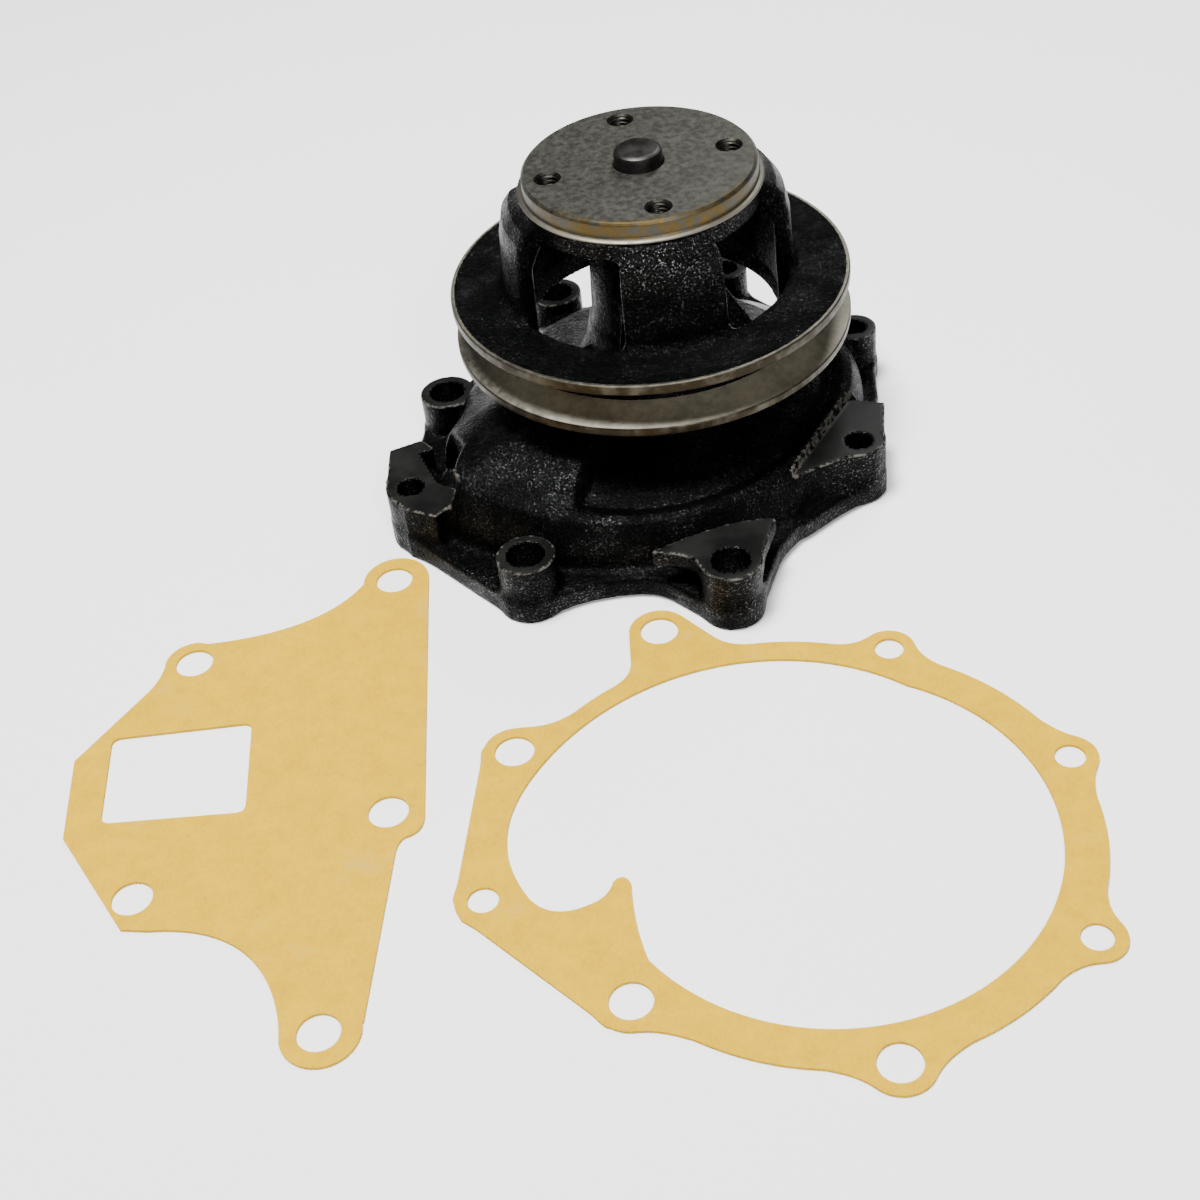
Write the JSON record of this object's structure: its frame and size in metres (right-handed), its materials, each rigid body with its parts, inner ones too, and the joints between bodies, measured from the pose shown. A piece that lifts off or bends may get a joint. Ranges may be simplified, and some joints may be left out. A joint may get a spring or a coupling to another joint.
{
  "type": "engine water pump",
  "caption": "Cast iron engine water pump with fan pulley, shaft bearing, face seal and impeller, and its two loose paper gaskets.",
  "frame": {"origin": "on the rotor's axis in the plane of the block face, which is the flange's rear face; the shaft's tail end is 1 mm above it", "axes": "+Z along the shaft towards the fan flange, -Y towards the front triangular pad, +X towards the single side pad"},
  "size_m": [0.3058, 0.3663, 0.114],
  "materials": {
    "black_enamel": "glossy black enamel over rough sand casting",
    "machined_iron": "turned cast iron with an oil film, black enamel on the unmachined faces",
    "bare_iron": "bare as-cast iron",
    "shaft_steel": "ground and darkened steel",
    "bearing_steel": "ground steel",
    "seal_brass": "pressed brass",
    "cage_brass": "machined brass",
    "seal_rubber": "moulded black rubber",
    "seal_carbon": "lapped carbon",
    "seat_ceramic": "lapped ceramic",
    "gasket_paper": "tan fibrous gasket paper"
  },
  "bodies": {
    "housing": {"pump_body": "black_enamel", "bearing_outer_race": "bearing_steel", "rear_bearing_seal": "seal_rubber", "front_bearing_seal": "seal_rubber", "seal_case": "seal_brass", "seal_bellows": "seal_rubber", "seal_spring": "bearing_steel", "seal_carbon_ring": "seal_carbon"},
    "rotor": {"bearing_shaft": "shaft_steel", "fan_pulley": "machined_iron", "impeller": "bare_iron", "slinger": "bearing_steel", "ceramic_seat": "seat_ceramic", "seat_cup": "seal_rubber"},
    "rear_ball_row": {"rear_ball_cage": "cage_brass", "rear_ball_1": "bearing_steel", "rear_ball_2": "bearing_steel", "rear_ball_3": "bearing_steel", "rear_ball_4": "bearing_steel", "rear_ball_5": "bearing_steel", "rear_ball_6": "bearing_steel", "rear_ball_7": "bearing_steel", "rear_ball_8": "bearing_steel"},
    "front_ball_row": {"front_ball_cage": "cage_brass", "front_ball_1": "bearing_steel", "front_ball_2": "bearing_steel", "front_ball_3": "bearing_steel", "front_ball_4": "bearing_steel", "front_ball_5": "bearing_steel", "front_ball_6": "bearing_steel", "front_ball_7": "bearing_steel", "front_ball_8": "bearing_steel"},
    "loose_volute_gasket": {"volute_gasket": "gasket_paper"},
    "loose_block_gasket": {"block_gasket": "gasket_paper"}
  },
  "joints": [
    {"name": "rotor_spin", "type": "hinge", "parent": "housing", "child": "rotor", "pos_m": [0, 0, 0.07], "axis": [0, 0, 1], "continuous": true},
    {"name": "rear_row_orbit", "type": "hinge", "parent": "housing", "child": "rear_ball_row", "pos_m": [0, 0, 0.0615], "axis": [0, 0, 1], "continuous": true},
    {"name": "front_row_orbit", "type": "hinge", "parent": "housing", "child": "front_ball_row", "pos_m": [0, 0, 0.0825], "axis": [0, 0, 1], "continuous": true},
    {"name": "volute_gasket_lift", "type": "slide", "parent": "housing", "child": "loose_volute_gasket", "axis": [0, 0, 1], "range_m": [0, 0.12]},
    {"name": "block_gasket_lift", "type": "slide", "parent": "housing", "child": "loose_block_gasket", "axis": [0, 0, 1], "range_m": [0, 0.12]}
  ],
  "couplings": [
    {"joint": "rear_row_orbit", "follows": "rotor_spin", "ratio": 0.3946},
    {"joint": "front_row_orbit", "follows": "rotor_spin", "ratio": 0.3946}
  ]
}
